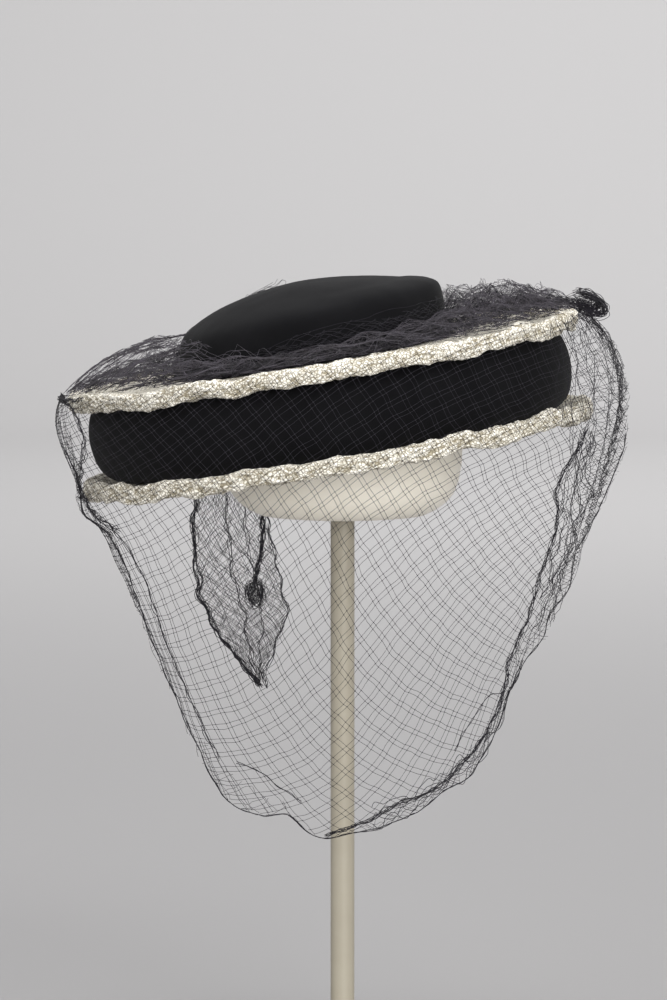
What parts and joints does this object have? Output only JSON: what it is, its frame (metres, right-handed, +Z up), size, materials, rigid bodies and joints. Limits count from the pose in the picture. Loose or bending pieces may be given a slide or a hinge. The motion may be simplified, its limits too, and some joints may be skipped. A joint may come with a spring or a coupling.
{
  "type": "pillbox hat with veil on a hat stand",
  "caption": "Black felt pillbox hat with cream straw brims above and below its band, a gathered net face veil, and the plain stand that carries it.",
  "frame": {"origin": "centre of the underside of the stand's foot", "axes": "+Z up along the post; the veil falls over the face on the -Y side; +X is the side on which the hat sits higher"},
  "size_m": [0.3048, 0.2794, 0.4222],
  "materials": {
    "stand_paint": "satin cream paint",
    "black_felt": "matt fur felt with a short nap",
    "cream_straw": "crinkled straw, slightly glossy",
    "black_net": "matt knotted net thread"
  },
  "bodies": {
    "root": {"stand_base": "stand_paint", "stand_post": "stand_paint", "stand_head": "stand_paint", "crown": "black_felt", "top_brim": "cream_straw", "side_band": "black_felt", "bottom_brim": "cream_straw", "veil_gathers": "black_net", "veil": "black_net", "veil_knot": "black_net", "veil_tail": "black_net", "veil_tie": "black_net"}
  },
  "joints": []
}
